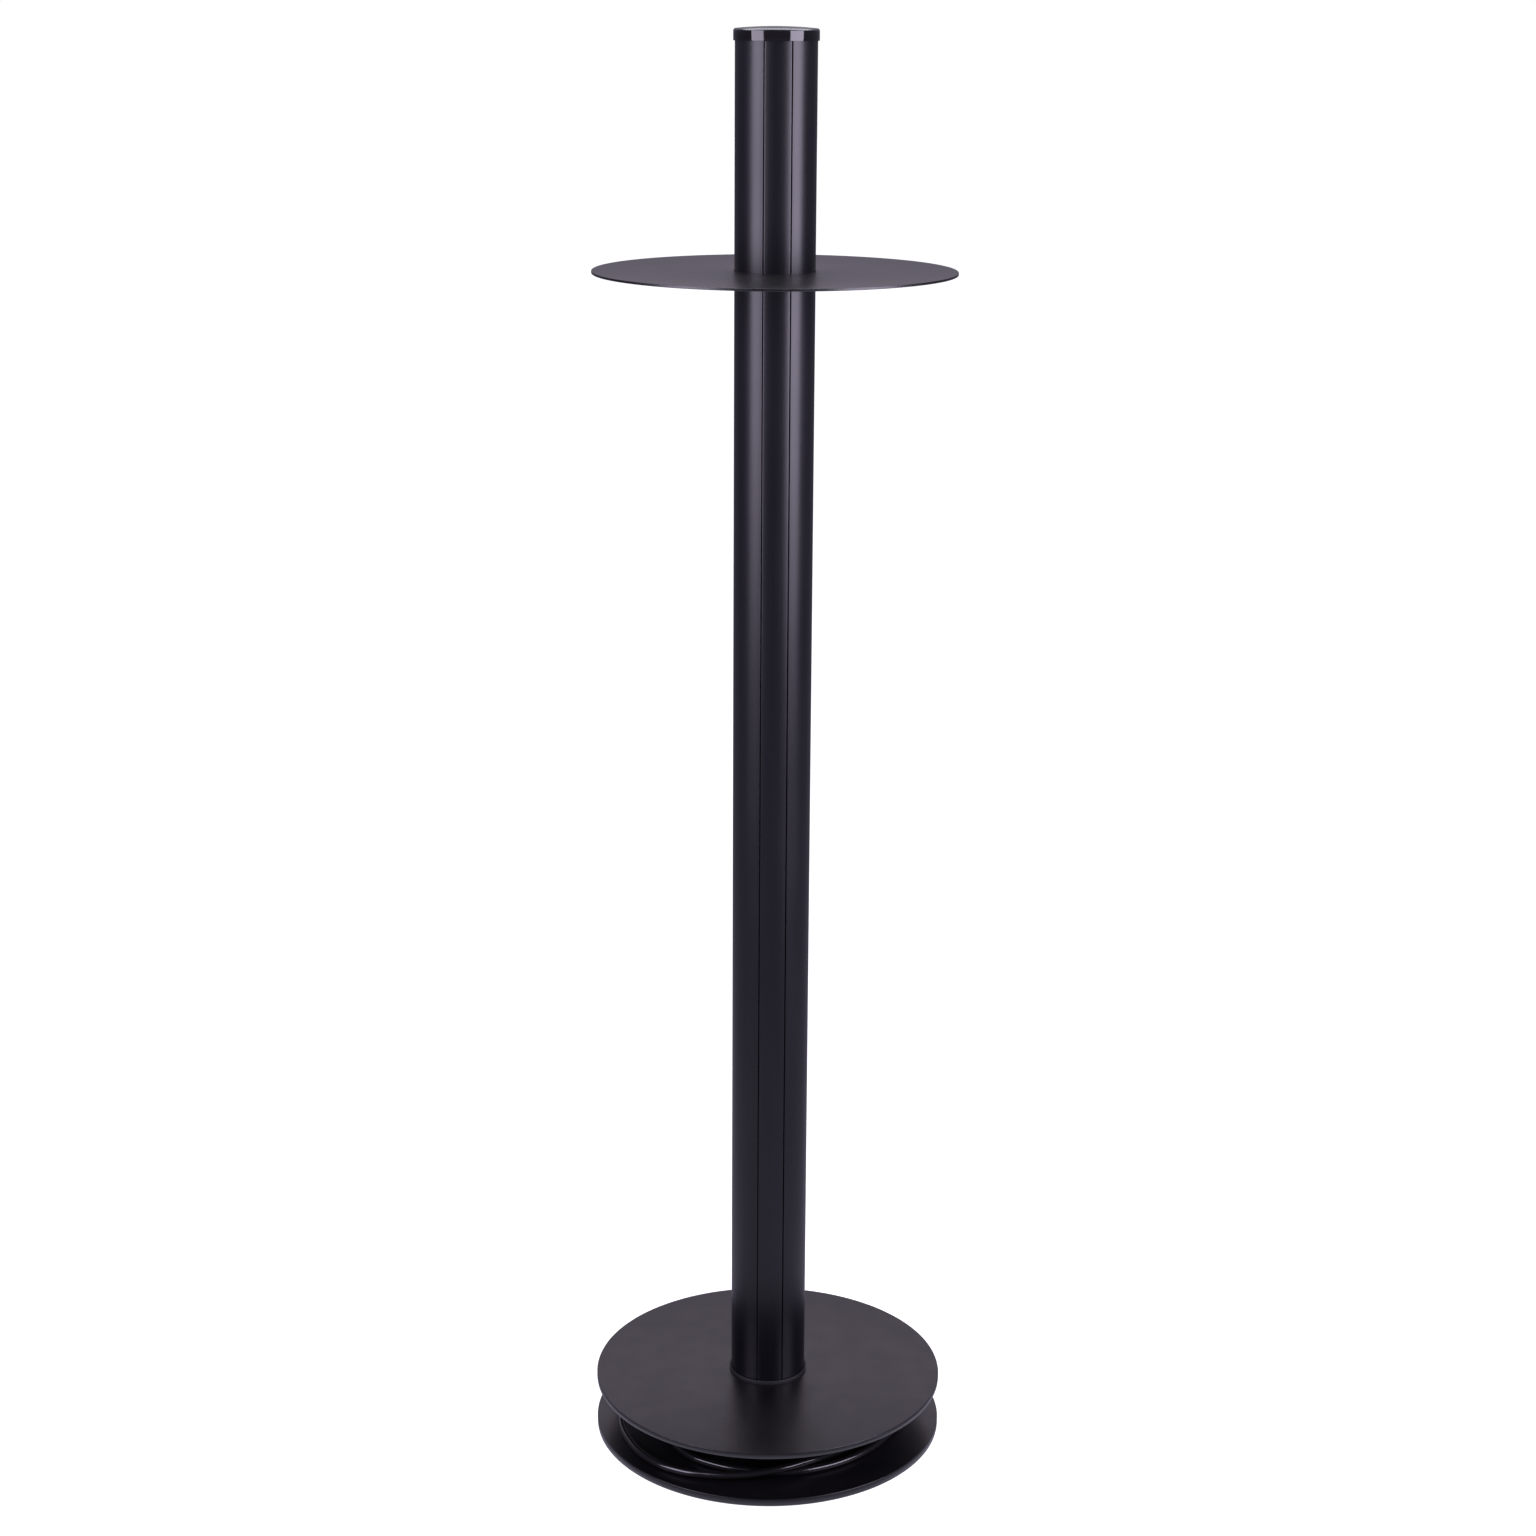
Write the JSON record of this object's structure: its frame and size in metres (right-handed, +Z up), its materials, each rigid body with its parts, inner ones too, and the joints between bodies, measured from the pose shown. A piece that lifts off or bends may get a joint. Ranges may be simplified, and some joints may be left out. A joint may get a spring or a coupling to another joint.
{
  "type": "free-standing service column",
  "caption": "Free-standing round black service column on a double base that stores its mains lead, with a clamp-on disc shelf near the top and outlets at the rear.",
  "frame": {"origin": "on the floor, under the column's axis", "axes": "+Z up along the column, -Y towards the face with the cover strip, +Y towards the outlets"},
  "size_m": [0.375, 0.375, 1.4859],
  "materials": {
    "powder_coat": "fine satin powder coat",
    "anodised_aluminium": "satin black anodised",
    "cap_gloss": "polished black",
    "black_plastic": "fine grain",
    "drum_plastic": "moulded, fine grain",
    "outlet_plastic": "satin moulded",
    "terminal_plastic": "natural nylon",
    "pad_rubber": "matt",
    "plug_rubber": "moulded, satin",
    "lead_pvc": "glossy PVC sheath",
    "wire_brown": "PVC",
    "wire_blue": "PVC",
    "wire_green": "PVC",
    "zinc_steel": "zinc plated",
    "black_steel": "black oxide",
    "contact_brass": "bright spring brass",
    "pin_nickel": "nickel plated"
  },
  "bodies": {
    "stand": {"floor_pad_1": "pad_rubber", "floor_pad_2": "pad_rubber", "floor_pad_3": "pad_rubber", "floor_pad_4": "pad_rubber", "lower_plate": "powder_coat", "upper_plate": "powder_coat", "cable_drum": "drum_plastic", "drum_screw_1": "zinc_steel", "drum_screw_2": "zinc_steel", "drum_screw_3": "zinc_steel", "drum_screw_4": "zinc_steel", "column_bolt_1": "zinc_steel", "column_bolt_2": "zinc_steel", "column_bolt_3": "zinc_steel", "column_bolt_4": "zinc_steel", "column_profile": "anodised_aluminium", "front_cover_strip": "anodised_aluminium", "rear_cover_lower": "anodised_aluminium", "rear_cover_upper": "anodised_aluminium", "foot_ring": "black_plastic", "cord_clamp": "black_plastic", "end_cap": "cap_gloss", "outlet_frame": "outlet_plastic", "socket_lower": "outlet_plastic", "socket_upper": "outlet_plastic", "charger_module": "outlet_plastic", "outlet_screw_1": "black_steel", "outlet_screw_2": "black_steel", "earth_contact_lower": "contact_brass", "earth_contact_upper": "contact_brass", "terminal_block": "terminal_plastic", "live_conductor": "wire_brown", "neutral_conductor": "wire_blue", "earth_conductor": "wire_green", "clamp_screw_1": "zinc_steel", "clamp_screw_2": "zinc_steel", "supply_cable": "lead_pvc", "lead_run_in": "lead_pvc", "lead_winding": "lead_pvc", "lead_outer": "lead_pvc", "cable_boot": "plug_rubber", "plug_body": "plug_rubber", "plug_pin_1": "pin_nickel", "plug_pin_2": "pin_nickel"},
    "shelf": {"shelf_disc": "powder_coat", "collar_front": "black_steel", "collar_rear": "black_steel", "collar_liner": "black_plastic", "collar_screw_1": "zinc_steel", "collar_screw_2": "zinc_steel", "shelf_nut_1": "zinc_steel", "shelf_nut_2": "zinc_steel", "shelf_nut_3": "zinc_steel", "shelf_nut_4": "zinc_steel"}
  },
  "joints": [
    {"name": "shelf_height", "type": "slide", "parent": "stand", "child": "shelf", "axis": [0, 0, 1], "range_m": [-1.15, 0.2]}
  ]
}
